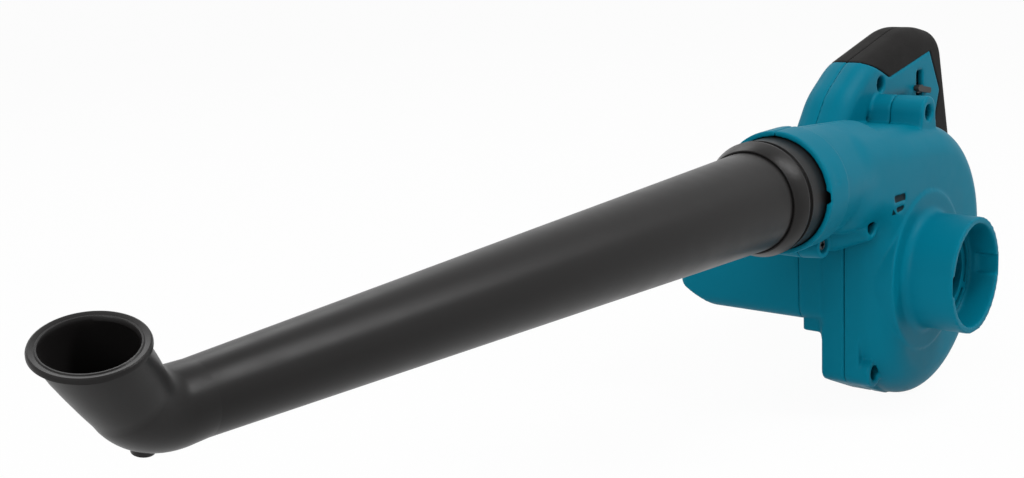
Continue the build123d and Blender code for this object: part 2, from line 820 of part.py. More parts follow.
with BuildPart() as trigger:
    front_x = trigger_pivot_x - trigger_reach
    nose_z = bar_under_z - trigger_drop
    tail_x0 = trigger_pivot_x + trigger_boss_r
    trigger_outline = [
        (front_x, bar_under_z + wall),
        (front_x, nose_z + 2 * wall),
        (front_x + 2 * wall, nose_z),
        (front_x + trigger_reach / 2, bar_under_z - wall),
        (trigger_pivot_x, trigger_pivot_z - trigger_boss_r),
        (tail_x0, trigger_pivot_z),
        (tail_x0, switch_bottom_z - run_gap),
        (trigger_pivot_x, switch_bottom_z - run_gap),
        (trigger_pivot_x - trigger_boss_r, trigger_pivot_z),
        (spring_x + 2 * spring_r, spring_seat_z),
        (spring_x - 2 * spring_r, spring_seat_z),
    ]
    prism(trigger_outline, handle_seam_y - trigger_width / 2, handle_seam_y + trigger_width / 2)
    rod(trigger_pivot_x, trigger_pivot_z, trigger_boss_r,
        handle_seam_y - trigger_width / 2, handle_seam_y + trigger_width / 2)
    rod(trigger_pivot_x, trigger_pivot_z, trigger_pin_r + fit_gap,
        handle_seam_y - trigger_width, handle_seam_y + trigger_width, mode=Mode.SUBTRACT)
trigger.part.label = "trigger"
export_step(trigger.part, "parts/trigger.step")

with BuildPart() as trigger_pin:
    rod(trigger_pivot_x, trigger_pivot_z, trigger_pin_r,
        handle_seam_y - trigger_pin_length / 2, handle_seam_y + trigger_pin_length / 2)
trigger_pin.part.label = "trigger_pin"
export_step(trigger_pin.part, "parts/trigger_pin.step")

with BuildPart() as trigger_spring:
    spring_low = spring_seat_z + spring_wire
    with BuildLine() as coil:
        Helix(spring_pitch, switch_bottom_z - spring_wire - spring_low, spring_r,
              center=(spring_x, handle_seam_y, spring_low))
    with BuildSketch(Plane(coil.line @ 0, z_dir=coil.line % 0)):
        Circle(spring_wire / 2)
    sweep(path=coil.line)
trigger_spring.part.label = "trigger_spring"
export_step(trigger_spring.part, "parts/trigger_spring.step")

with BuildPart() as speed_lever:
    plate_y = inner_left_y + run_gap
    bar_y = handle_left_y - run_gap
    block(lever_x - lever_stem_width / 2, lever_x + lever_stem_width / 2, bar_y, plate_y,
          lever_z - lever_stem / 2, lever_z + lever_stem / 2)
    block(lever_x - lever_plate_width / 2, lever_x + lever_plate_width / 2,
          plate_y, plate_y + lever_plate_thick,
          lever_z - lever_plate / 2, lever_z + lever_plate / 2)
    with BuildSketch(side(bar_y)):
        with Locations((lever_x, lever_z)):
            SlotOverall(lever_bar, lever_bar_height, rotation=-lever_tilt)
    extrude(amount=lever_bar_thick)
speed_lever.part.label = "speed_lever"
export_step(speed_lever.part, "parts/speed_lever.step")

# Nozzle: collar with two bayonet pins, tapered tube and elbow
with BuildPart() as nozzle_collar:
    sleeve_bore_r = sleeve_r - sleeve_wall
    collar_back_x = ring_back_x - run_gap
    turned([
        (collar_back_x, sleeve_bore_r),
        (collar_back_x, sleeve_r),
        (-collar_flare_x, sleeve_r),
        (-collar_front_x, collar_flange_r),
        (collar_end_x, tube_root_r + fit_gap + collar_lip),
        (collar_end_x, tube_root_r + fit_gap),
        (socket_x, tube_root_r + fit_gap),
        (socket_x, tube_root_r - tube_wall),
        (socket_x + tube_wall, tube_root_r - tube_wall),
        (-collar_flare_x + wall, sleeve_bore_r),
    ])
    for turn in (-twist, 180 - twist):
        out = Vector(0, cos(radians(turn)), sin(radians(turn)))
        foot = Vector(pin_x, case_seam_y, outlet_z) + out * (sleeve_r - sleeve_wall / 2)
        with BuildSketch(Plane(foot, z_dir=out)):
            Circle(pin_r)
        extrude(amount=sleeve_wall / 2 + pin_reach)
nozzle_collar.part.label = "nozzle_collar"
export_step(nozzle_collar.part, "parts/nozzle_collar.step")

with BuildPart() as nozzle_tube:
    taper = (tube_root_r - tube_tip_r) / (tube_tip_x + collar_end_x)
    shoulder_r = tube_tip_r + taper * tube_socket
    turned([
        (socket_x, tube_root_r - tube_wall),
        (socket_x, tube_root_r),
        (collar_end_x, tube_root_r),
        (spigot_x, shoulder_r),
        (spigot_x, spigot_r),
        (-tube_tip_x, spigot_r),
        (-tube_tip_x, spigot_r - spigot_wall),
        (spigot_x, spigot_r - spigot_wall),
        (collar_end_x, tube_root_r - tube_wall),
    ])
nozzle_tube.part.label = "nozzle_tube"
export_step(nozzle_tube.part, "parts/nozzle_tube.step")

with BuildPart() as nozzle_elbow:
    up = Vector(0, -sin(radians(nozzle_roll)), cos(radians(nozzle_roll)))
    ahead = Vector(-1, 0, 0)
    bend_start = Vector(-tube_tip_x, case_seam_y, outlet_z)
    across = ahead.cross(up)
    bend_axis = Axis(bend_start + up * elbow_bend_r, across)
    lean = radians(elbow_angle)
    bend_end = bend_start + ahead * (elbow_bend_r * sin(lean))
    bend_end = bend_end + up * (elbow_bend_r * (1 - cos(lean)))
    neck_dir = ahead * cos(lean) + up * sin(lean)
    mouth_dir = ahead * cos(radians(mouth_angle)) + up * sin(radians(mouth_angle))
    neck_plane = Plane(bend_end, z_dir=neck_dir, x_dir=across)
    mouth_plane = Plane(bend_end + neck_dir * elbow_neck, z_dir=mouth_dir, x_dir=across)
    elbow_bore_r = spigot_r + fit_gap
    turned([
        (spigot_x, 0),
        (spigot_x, shoulder_r),
        (-tube_tip_x, elbow_r),
        (-tube_tip_x, 0),
    ])
    with BuildSketch(Plane.YZ.offset(-tube_tip_x)) as bend_section:
        with Locations((case_seam_y, outlet_z)):
            Circle(elbow_r)
    revolve(bend_section.sketch, axis=bend_axis, revolution_arc=elbow_angle)
    with BuildSketch(neck_plane) as neck_low:
        Circle(elbow_r)
    with BuildSketch(mouth_plane.offset(-mouth_flange)) as neck_high:
        Circle(neck_top_r)
    loft([neck_low.sketch, neck_high.sketch])
    with Locations(mouth_plane.offset(-mouth_flange / 2)):
        Cylinder(mouth_flange_r, mouth_flange)
    foot_place = bend_start + ahead * elbow_foot_x - up * (elbow_r - 2 * wall)
    with BuildSketch(Plane(foot_place, z_dir=-up)) as foot_section:
        Circle(elbow_foot_r)
    extrude(foot_section.sketch, amount=elbow_foot)
    turned([
        (spigot_x, 0),
        (spigot_x, elbow_bore_r),
        (-tube_tip_x, elbow_bore_r),
        (-tube_tip_x, 0),
    ], mode=Mode.SUBTRACT)
    with BuildSketch(Plane.YZ.offset(-tube_tip_x)) as bend_bore:
        with Locations((case_seam_y, outlet_z)):
            Circle(elbow_bore_r)
    revolve(bend_bore.sketch, axis=bend_axis, revolution_arc=elbow_angle, mode=Mode.SUBTRACT)
    with BuildSketch(neck_plane) as bore_low:
        Circle(elbow_bore_r)
    with BuildSketch(mouth_plane) as bore_high:
        Circle(mouth_bore_r)
    loft([bore_low.sketch, bore_high.sketch], mode=Mode.SUBTRACT)
nozzle_elbow.part.label = "nozzle_elbow"
export_step(nozzle_elbow.part, "parts/nozzle_elbow.step")

# Battery terminals between the dock rails
with BuildPart() as terminal_block:
    block_x = drive_rear - rail_rear - rail_length - terminal_length
    block(block_x, block_x + terminal_length,
          dock_y - terminal_width / 2, dock_y + terminal_width / 2,
          -drive_bottom - terminal_height, -drive_bottom)
    for k in (-1, 0, 1):
        blade_y = dock_y + k * blade_pitch
        slot = blade_thick / 2 + fit_gap
        block(block_x + terminal_length - blade_hold, block_x + terminal_length,
              blade_y - slot, blade_y + slot,
              -drive_bottom - (terminal_height + blade_height) / 2 - fit_gap,
              -drive_bottom - (terminal_height - blade_height) / 2 + fit_gap, mode=Mode.SUBTRACT)
terminal_block.part.label = "terminal_block"
export_step(terminal_block.part, "parts/terminal_block.step")

with BuildPart() as terminal_blades:
    for k in (-1, 0, 1):
        blade_y = dock_y + k * blade_pitch
        block(block_x + terminal_length - blade_hold, block_x + terminal_length + blade_reach,
              blade_y - blade_thick / 2, blade_y + blade_thick / 2,
              -drive_bottom - (terminal_height + blade_height) / 2,
              -drive_bottom - (terminal_height - blade_height) / 2)
terminal_blades.part.label = "terminal_blades"
export_step(terminal_blades.part, "parts/terminal_blades.step")

# Screws that hold the fan cover, and those that join the two housings
with BuildPart() as cover_screws:
    for x, z, radius, open_y, seam_r, end_y in case_pillars:
        screw(x, z, screw_r, screw_head_r, case_screw_rest_y,
              screw_head, case_screw_length)
cover_screws.part.label = "cover_screws"
export_step(cover_screws.part, "parts/cover_screws.step")

with BuildPart() as housing_screws:
    for x, z in handle_pillars:
        screw(x, z, screw_r, screw_head_r, handle_screw_rest_y,
              screw_head, handle_screw_length)
housing_screws.part.label = "housing_screws"
export_step(housing_screws.part, "parts/housing_screws.step")
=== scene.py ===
"""Looks of a hand-held leaf blower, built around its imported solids."""

import json
import logging
from dataclasses import dataclass, field
from enum import Enum
from math import cos, pi, radians, sin
from typing import Iterable, Sequence, Union

import bmesh
import bpy
from mathutils import Matrix, Quaternion, Vector


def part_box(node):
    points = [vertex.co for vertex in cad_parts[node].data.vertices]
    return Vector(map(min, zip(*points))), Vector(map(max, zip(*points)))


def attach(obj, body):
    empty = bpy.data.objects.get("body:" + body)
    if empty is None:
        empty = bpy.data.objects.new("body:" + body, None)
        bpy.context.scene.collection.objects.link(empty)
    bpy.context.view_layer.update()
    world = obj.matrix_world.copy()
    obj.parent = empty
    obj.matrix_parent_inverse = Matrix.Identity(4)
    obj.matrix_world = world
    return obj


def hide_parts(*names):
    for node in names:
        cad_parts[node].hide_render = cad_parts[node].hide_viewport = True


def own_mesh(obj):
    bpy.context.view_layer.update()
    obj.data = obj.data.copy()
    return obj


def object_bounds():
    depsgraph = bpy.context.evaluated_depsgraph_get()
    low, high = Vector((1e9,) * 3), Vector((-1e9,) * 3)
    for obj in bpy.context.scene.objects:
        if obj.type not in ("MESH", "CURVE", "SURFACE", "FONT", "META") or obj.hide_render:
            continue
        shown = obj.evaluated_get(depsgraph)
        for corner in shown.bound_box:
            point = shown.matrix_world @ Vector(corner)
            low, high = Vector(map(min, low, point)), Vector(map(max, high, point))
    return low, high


MM = 0.001
IMAGE_WIDTH = 1024
SAME_POINT = 1e-6
BLACK = (0.0, 0.0, 0.0)
WHITE = (1.0, 1.0, 1.0)

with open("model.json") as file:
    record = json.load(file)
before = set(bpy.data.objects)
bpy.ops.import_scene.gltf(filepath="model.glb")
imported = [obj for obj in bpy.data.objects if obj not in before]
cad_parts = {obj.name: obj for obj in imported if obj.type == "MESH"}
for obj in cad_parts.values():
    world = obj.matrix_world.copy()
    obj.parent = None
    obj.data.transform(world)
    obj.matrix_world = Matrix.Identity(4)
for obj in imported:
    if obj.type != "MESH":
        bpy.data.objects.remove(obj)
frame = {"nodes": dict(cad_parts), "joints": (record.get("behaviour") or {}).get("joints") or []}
cad_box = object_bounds()
log = logging.getLogger("leaf_blower")

Colour = tuple[float, float, float]
Number = Union[float, "Wire"]


class Body(str, Enum):
    """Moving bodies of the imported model."""

    HOUSING = "housing"
    FAN = "fan_rotor"
    NOZZLE = "nozzle"
    TRIGGER = "trigger_lever"
    SPEED = "speed_slider"


class Slot(str, Enum):
    """Material slots of the record."""

    BODY = "body_plastic"
    NOZZLE = "nozzle_plastic"
    GRIP = "grip_rubber"
    INNER = "inner_plastic"
    MOTOR = "motor_metal"
    STEEL = "steel"
    DARK_STEEL = "dark_steel"
    BRASS = "brass"
    COPPER = "copper"
    MAGNET = "magnet"
    CARBON = "carbon"
    SOFT = "soft_rubber"


class Wire:
    """A shader socket that takes part in Python sums."""

    def __init__(self, sheet: "NodeSheet", socket: bpy.types.NodeSocket) -> None:
        """Keeps the sheet that new nodes go on, and the socket itself."""
        self.sheet = sheet
        self.socket = socket

    def _sum(self, operation: str, first: Number, second: Number) -> "Wire":
        """Adds a Math node for two values and gives its result."""
        return self.sheet.add("ShaderNodeMath", {"operation": operation}, {0: first, 1: second})

    def __add__(self, other: Number) -> "Wire":
        """Sum of the two values."""
        return self._sum("ADD", self, other)

    def __radd__(self, other: Number) -> "Wire":
        """Sum with the wire on the right."""
        return self._sum("ADD", other, self)

    def __sub__(self, other: Number) -> "Wire":
        """Difference of the two values."""
        return self._sum("SUBTRACT", self, other)

    def __rsub__(self, other: Number) -> "Wire":
        """Difference with the wire on the right."""
        return self._sum("SUBTRACT", other, self)

    def __mul__(self, other: Number) -> "Wire":
        """Product of the two values."""
        return self._sum("MULTIPLY", self, other)

    def __rmul__(self, other: Number) -> "Wire":
        """Product with the wire on the right."""
        return self._sum("MULTIPLY", other, self)

    def __gt__(self, other: Number) -> "Wire":
        """One where the wire's value is the greater, else zero."""
        return self._sum("GREATER_THAN", self, other)

    def __lt__(self, other: Number) -> "Wire":
        """One where the wire's value is the smaller, else zero."""
        return self._sum("LESS_THAN", self, other)


class NodeSheet:
    """Node tree of one material or of the world."""

    def __init__(self, tree: bpy.types.NodeTree) -> None:
        """Starts from an empty tree."""
        self.tree = tree
        self.tree.nodes.clear()

    def add(
        self,
        kind: str,
        settings: dict | None = None,
        inputs: dict | None = None,
        output: int | str = 0,
    ) -> Wire:
        """Adds one node.

        Args:
            kind: the node's type name.
            settings: the node's own options, with "stops" for a ramp's colours.
            inputs: values or wires by the sockets' names or numbers.
            output: the output that is wanted, by name or number.

        Returns:
            The wanted output as a wire.
        """
        node = self.tree.nodes.new(kind)
        for name, value in (settings or {}).items():
            if name == "stops":
                for stop, (place, colour) in zip(node.color_ramp.elements, value):
                    stop.position = place
                    stop.color = (*colour, 1.0)
            else:
                setattr(node, name, value)
        for name, value in (inputs or {}).items():
            socket = node.inputs[name]
            if isinstance(value, Wire):
                self.tree.links.new(value.socket, socket)
            elif isinstance(value, tuple) and len(value) == 3 and socket.type == "RGBA":
                socket.default_value = (*value, 1.0)
            else:
                socket.default_value = value
        return Wire(self, node.outputs[output]) if node.outputs else Wire(self, node.inputs[0])

    def place(self) -> Wire:
        """Object coordinates, which are the frame's own metres."""
        return self.add("ShaderNodeTexCoord", output="Object")

    def noise(self, vector: Wire, size: float, detail: float = 2.0) -> Wire:
        """Noise whose lumps are about the given size in metres."""
        inputs = {"Vector": vector, "Scale": 1.0 / size, "Detail": detail}
        return self.add("ShaderNodeTexNoise", None, inputs)

    def inside(self, vector: Wire, low: Colour, high: Colour) -> Wire:
        """One inside a box, else zero.

        Args:
            vector: the point that is tested.
            low: the box's lowest corner.
            high: its highest corner.

        Returns:
            The mask.
        """
        mask: Number = 1.0
        for k in range(3):
            part = self.add("ShaderNodeSeparateXYZ", None, {0: vector}, k)
            mask = mask * (part > low[k]) * (part < high[k])
        return mask

    def ramp(self, value: Wire, start: float, end: float) -> Wire:
        """Black up to the start, white from the end on."""
        stops = [(start, BLACK), (end, WHITE)]
        return self.add("ShaderNodeValToRGB", {"stops": stops}, {"Fac": value})

    def seen(self) -> Wire:
        """One for what the camera sees, straight on, mirrored or through glass.

        Returns:
            The mask.
        """
        rays = [
            self.add("ShaderNodeLightPath", output=name)
            for name in ("Is Camera Ray", "Is Glossy Ray", "Is Transmission Ray")
        ]
        total = rays[0] + rays[1] + rays[2]
        return self.add("ShaderNodeMath", {"operation": "MINIMUM"}, {0: total, 1: 1.0})

    def mix(self, factor: Wire, low: Colour | Wire, high: Colour | Wire) -> Wire:
        """Blend of two colours."""
        return self.add("ShaderNodeMix", {"data_type": "RGBA"}, {0: factor, 6: low, 7: high}, 2)

    def bump(self, height: Wire, depth: float) -> Wire:
        """Normal of a relief of the given depth in metres."""
        return self.add("ShaderNodeBump", None, {"Height": height, "Distance": depth}, "Normal")

    def surface(self, inputs: dict) -> None:
        """Ends the tree in a Principled shader with the given sockets."""
        shader = self.add("ShaderNodeBsdfPrincipled", None, inputs)
        self.add("ShaderNodeOutputMaterial", None, {"Surface": shader})


def new_material(name: str) -> tuple[bpy.types.Material, NodeSheet]:
    """Makes an empty node material.

    Args:
        name: the material's name.

    Returns:
        The material and its sheet.
    """
    material = bpy.data.materials.new(name)
    material.use_nodes = True
    return material, NodeSheet(material.node_tree)


def shade(colour: Colour, share: float) -> Colour:
    """The colour made lighter or darker by a share."""
    return tuple(part * share for part in colour)


def clamp(value: float) -> float:
    """The value held between 0 and 1."""
    return max(0.0, min(1.0, value))


@dataclass(frozen=True)
class MouldedPlastic:
    """Satin moulded plastic with a fine spark-eroded grain."""

    name: str
    colour: Colour
    slot: Slot
    roughness: float = 0.42
    grain_size: float = 0.45 * MM
    grain_depth: float = 0.012 * MM
    cloud_size: float = 35 * MM
    cloud_tone: float = 0.05
    edge_highlight_tone: float = 0.0
    specular: float = 0.28
    # Box of a painted shadow in a recess, and the share that darkens both the painted shadow and the
    # painted shade.
    painted_shadow_low: Colour | None = None
    painted_shadow_high: Colour | None = None
    painted_shade_tone: float = 0.06
    # Reach, rays and ramp of the painted shade in hollows.
    painted_shade_reach: float = 0.0
    painted_shade_samples: int = 6
    painted_shade_ramp: tuple[float, float] = (0.06, 0.42)
    edge_highlight_ramp: tuple[float, float] = (0.5, 0.62)
    roughness_swing: float = 0.06

    def material(self) -> bpy.types.Material:
        """Builds the finish.

        Returns:
            The new material.
        """
        material, sheet = new_material(self.name)
        place = sheet.place()
        cloud = sheet.noise(place, self.cloud_size, 3.0)
        grain = sheet.noise(place, self.grain_size)
        low = shade(self.colour, 1.0 - self.cloud_tone)
        high = shade(self.colour, 1.0 + self.cloud_tone)
        colour = sheet.mix(cloud, low, high)
        # Painted highlight: the colour is lighter on sharp outer edges, found by pointiness.
        if self.edge_highlight_tone:
            edge = sheet.add("ShaderNodeNewGeometry", output="Pointiness")
            edge = sheet.ramp(edge, *self.edge_highlight_ramp)
            colour = sheet.mix(edge, colour, shade(self.colour, 1.0 + self.edge_highlight_tone))
        # Painted shade: the colour is darkened in holes, slots, seams and other hollows, found by
        # ambient occlusion.
        if self.painted_shade_reach:
            rays = {"samples": self.painted_shade_samples}
            reach = {"Distance": self.painted_shade_reach}
            unshaded_share = sheet.add("ShaderNodeAmbientOcclusion", rays, reach, "AO")
            unshaded_share = sheet.ramp(unshaded_share, *self.painted_shade_ramp)
            colour = sheet.mix(unshaded_share, shade(self.colour, self.painted_shade_tone), colour)
        # Painted shadow: everything inside the box, the two marks' recesses on the fan cover, is
        # darkened.
        if self.painted_shadow_low and self.painted_shadow_high:
            painted_shadow_mask = sheet.inside(place, self.painted_shadow_low, self.painted_shadow_high)
            colour = sheet.mix(painted_shadow_mask, colour, shade(self.colour, self.painted_shade_tone))
        swing = self.roughness_swing
        sheet.surface({
            "Base Color": colour,
            "Roughness": self.roughness - swing + 2 * swing * sheet.noise(place, self.cloud_size / 3),
            "Specular IOR Level": self.specular,
            "Normal": sheet.bump(grain, self.grain_depth),
        })
        return material


@dataclass(frozen=True)
class RubberSkin:
    """Soft matte rubber with a pebbled hold."""

    name: str
    colour: Colour
    slot: Slot
    roughness: float = 0.66
    pebble_size: float = 0.9 * MM
    pebble_depth: float = 0.10 * MM
    pebble_top_tone: float = 0.5
    dark_tone: float = 0.7
    cloud_size: float = 18 * MM
    cloud_share: float = 0.35
    fine_share: float = 0.25
    roughness_swing: float = 0.16
    specular: float = 0.10

    def material(self) -> bpy.types.Material:
        """Builds the finish.

        Returns:
            The new material.
        """
        material, sheet = new_material(self.name)
        place = sheet.place()
        inputs = {"Vector": place, "Scale": 1.0 / self.pebble_size}
        pebble = sheet.add("ShaderNodeTexVoronoi", {"feature": "SMOOTH_F1"}, inputs, "Distance")
        cloud = sheet.noise(place, self.cloud_size, 3.0)
        fine = sheet.noise(place, self.pebble_size / 3)
        # Lighter on the pebbles' tops and darker between them, with a random cloudy tone mixed in.
        tone = self.cloud_share * cloud + (1.0 - self.cloud_share) * pebble
        pebble_top_colour = shade(self.colour, 1.0 + self.pebble_top_tone)
        sheet.surface({
            "Base Color": sheet.mix(tone, pebble_top_colour, shade(self.colour, self.dark_tone)),
            "Roughness": self.roughness + self.roughness_swing * cloud,
            "Specular IOR Level": self.specular,
            "Normal": sheet.bump(1.0 - pebble + self.fine_share * fine, self.pebble_depth),
        })
        return material


@dataclass(frozen=True)
class Metal:
    """Machined or plated metal with faint tool marks along the fan axis."""

    name: str
    colour: Colour
    slot: Slot
    roughness: float = 0.32
    mark_size: float = 0.5 * MM
    mark_depth: float = 0.02 * MM
    tarnish: float = 0.18
    tarnish_size: float = 9 * MM
    mark_stretch: Colour = (0.15, 1.0, 0.15)
    roughness_swing: float = 0.08

    def material(self) -> bpy.types.Material:
        """Builds the finish.

        Returns:
            The new material.
        """
        material, sheet = new_material(self.name)
        place = sheet.place()
        stretch = {"Vector": place, "Scale": self.mark_stretch}
        lines = sheet.noise(sheet.add("ShaderNodeMapping", None, stretch), self.mark_size, 3.0)
        cloud = sheet.noise(place, self.tarnish_size, 4.0)
        swing = self.roughness_swing
        sheet.surface({
            "Base Color": sheet.mix(cloud, shade(self.colour, 1.0 - self.tarnish), self.colour),
            "Metallic": 1.0,
            "Roughness": self.roughness - swing + 2 * swing * lines,
            "Normal": sheet.bump(lines, self.mark_depth),
        })
        return material


@dataclass(frozen=True)
class PressedPowder:
    """Sintered block such as a magnet or a carbon brush."""

    name: str
    colour: Colour
    slot: Slot
    roughness: float = 0.6
    speck_size: float = 0.35 * MM
    speck_depth: float = 0.03 * MM
    light_tone: float = 1.4
    dark_tone: float = 0.7
    roughness_swing: float = 0.1

    def material(self) -> bpy.types.Material:
        """Builds the finish.

        Returns:
            The new material.
        """
        material, sheet = new_material(self.name)
        place = sheet.place()
        inputs = {"Vector": place, "Scale": 1.0 / self.speck_size}
        speck = sheet.add("ShaderNodeTexVoronoi", None, inputs, "Distance")
        light = shade(self.colour, self.light_tone)
        swing = self.roughness_swing
        sheet.surface({
            "Base Color": sheet.mix(speck, light, shade(self.colour, self.dark_tone)),
            "Roughness": self.roughness - swing + 2 * swing * speck,
            "Normal": sheet.bump(speck, self.speck_depth),
        })
        return material


Finish = Union[MouldedPlastic, RubberSkin, Metal, PressedPowder]

BODY_TEAL = MouldedPlastic(
    # A painted highlight on the sharp outer edges.
    "body_teal", (0.0, 0.142, 0.214), Slot.BODY, 0.44, edge_highlight_tone=0.10, specular=0.05,
    # Painted shadow in the two marks' recesses on the fan cover.
    painted_shadow_low=(-0.048, 0.03335, 0.0445), painted_shadow_high=(-0.0295, 0.0352, 0.0575),
    # Reach of the painted shade in the hollows.
    painted_shade_reach=11 * MM,
)
NOZZLE_BLACK = MouldedPlastic(
    "nozzle_black", (0.0070, 0.0064, 0.0063), Slot.NOZZLE, 0.36, cloud_tone=0.12, specular=0.17
)
INNER_BLACK = MouldedPlastic("inner_black", (0.012, 0.012, 0.012), Slot.INNER, 0.5, cloud_tone=0.15)
GRIP_RUBBER = RubberSkin("grip_rubber", (0.0085, 0.0080, 0.0078), Slot.GRIP)
SOFT_RUBBER = RubberSkin("soft_rubber", (0.02, 0.02, 0.02), Slot.SOFT, 0.8, 1.6 * MM, 0.05 * MM)
MOTOR_METAL = Metal("motor_metal", (0.56, 0.57, 0.58), Slot.MOTOR, 0.38)
STEEL = Metal("steel", (0.62, 0.62, 0.61), Slot.STEEL, 0.28)
DARK_STEEL = Metal("dark_steel", (0.085, 0.082, 0.08), Slot.DARK_STEEL, 0.42)
BRASS = Metal("brass", (0.72, 0.52, 0.22), Slot.BRASS, 0.3)
COPPER = Metal("copper", (0.80, 0.40, 0.24), Slot.COPPER, 0.3)
MAGNET = PressedPowder("magnet", (0.035, 0.036, 0.04), Slot.MAGNET, 0.5)
CARBON = PressedPowder("carbon", (0.02, 0.02, 0.02), Slot.CARBON, 0.7)

_made: dict[str, bpy.types.Material] = {}


def dress(piece: bpy.types.Object, finish: Finish) -> None:
    """Gives a piece its only material.

    Args:
        piece: the object to dress.
        finish: the finish, whose material is made once.
    """
    if finish.name not in _made:
        _made[finish.name] = finish.material()
    piece.data.materials.clear()
    piece.data.materials.append(_made[finish.name])


def new_piece(name: str, shape: bmesh.types.BMesh) -> bpy.types.Object:
    """Turns a finished bmesh into a smooth-shaded object at the origin.

    Args:
        name: the piece's name.
        shape: its mesh, which is freed.

    Returns:
        The new object.
    """
    mesh = bpy.data.meshes.new(name)
    shape.to_mesh(mesh)
    shape.free()
    mesh.shade_smooth()
    piece = bpy.data.objects.new(name, mesh)
    bpy.context.scene.collection.objects.link(piece)
    return piece


def settle(piece: bpy.types.Object, body: Body, finish: Finish, nodes: Iterable[str]) -> None:
    """Dresses a piece, lets it ride on its body and stand for its nodes.

    Args:
        piece: the new object.
        body: the body that carries it.
        finish: its finish.
        nodes: the nodes that it stands for.
    """
    dress(piece, finish)
    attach(piece, body.value)
    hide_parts(*nodes)
    log.info("%s: %d faces on %s", piece.name, len(piece.data.polygons), body.value)


def merged_copy(node: str) -> bmesh.types.BMesh:
    """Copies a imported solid's mesh and closes it.

    Args:
        node: the solid's node.

    Returns:
        The copy.
    """
    shape = bmesh.new()
    shape.from_mesh(frame["nodes"][node].data)
    bmesh.ops.remove_doubles(shape, verts=shape.verts[:], dist=SAME_POINT)
    return shape


def facing(place: Vector, way: Vector) -> Matrix:
    """Moves a flat shape to a place and turns it to look along a way."""
    return Matrix.Translation(place) @ way.to_track_quat("Z", "Y").to_matrix().to_4x4()


def grow_ring(
    shape: bmesh.types.BMesh,
    ring: list[bmesh.types.BMEdge],
    middle: Vector,
    move: Vector,
    share: float,
) -> list[bmesh.types.BMEdge]:
    """Extrudes an open ring, moves it and scales it about its middle.

    Args:
        shape: the mesh.
        ring: the open edges.
        middle: the ring's middle before the move.
        move: the way it goes.
        share: the scale.

    Returns:
        The new open edges.
    """
    grown = bmesh.ops.extrude_edge_only(shape, edges=ring)["geom"]
    verts = [item for item in grown if isinstance(item, bmesh.types.BMVert)]
    bmesh.ops.translate(shape, verts=verts, vec=move)
    space = Matrix.Translation(-(middle + move))
    bmesh.ops.scale(shape, verts=verts, vec=(share, share, share), space=space)
    edges = [item for item in grown if isinstance(item, bmesh.types.BMEdge)]
    return [edge for edge in edges if all(vert in verts for vert in edge.verts)]


def turn(
    shape: bmesh.types.BMesh,
    profile: Sequence[tuple[float, float]],
    origin: Vector,
    axis: Vector,
    steps: int,
) -> None:
    """Spins a closed outline into a ring-shaped body.

    Args:
        shape: the mesh that takes it.
        profile: points as distance along the axis and radius.
        origin: a point on the axis.
        axis: the axis, of length one.
        steps: how many steps go round.
    """
    out = axis.orthogonal().normalized()
    verts = [shape.verts.new(origin + axis * along + out * radius) for along, radius in profile]
    edges = [shape.edges.new(pair) for pair in zip(verts, verts[1:] + verts[:1])]
    bmesh.ops.spin(
        shape, geom=verts + edges, cent=origin, axis=axis, dvec=(0, 0, 0),
        angle=2 * pi, steps=steps, use_merge=True,
    )
    bmesh.ops.remove_doubles(shape, verts=shape.verts[:], dist=SAME_POINT)
    bmesh.ops.recalc_face_normals(shape, faces=shape.faces[:])


def round_edges(shape: bmesh.types.BMesh, angle: float, width: float, segments: int = 3) -> None:
    """Bevels every edge that turns by more than an angle.

    Args:
        shape: the mesh.
        angle: the least turn between two faces, in radians.
        width: the bevel's width.
        segments: the bevel's steps.
    """
    edges = [e for e in shape.edges if e.is_manifold and e.calc_face_angle(0.0) > angle]
    bmesh.ops.bevel(
        shape, geom=edges, offset=width, offset_type="OFFSET", affect="EDGES",
        segments=segments, profile=0.5, material=-1, clamp_overlap=True,
    )


@dataclass(frozen=True)
class SoftZone:
    """Egg-shaped space in which a shell's edges melt into each other, in millimetres."""

    centre: tuple[float, float, float]
    reach: tuple[float, float, float]

    def weight(self, point: Vector) -> float:
        """Share of the softening at a point.

        Args:
            point: the point, in metres.

        Returns:
            One in the inner half, fading smoothly to zero at the reach.
        """
        parts = zip(point / MM, self.centre, self.reach)
        far = Vector([(at - middle) / reach for at, middle, reach in parts]).length
        share = clamp(2.0 - 2.0 * far)
        return share * share * (3.0 - 2.0 * share)


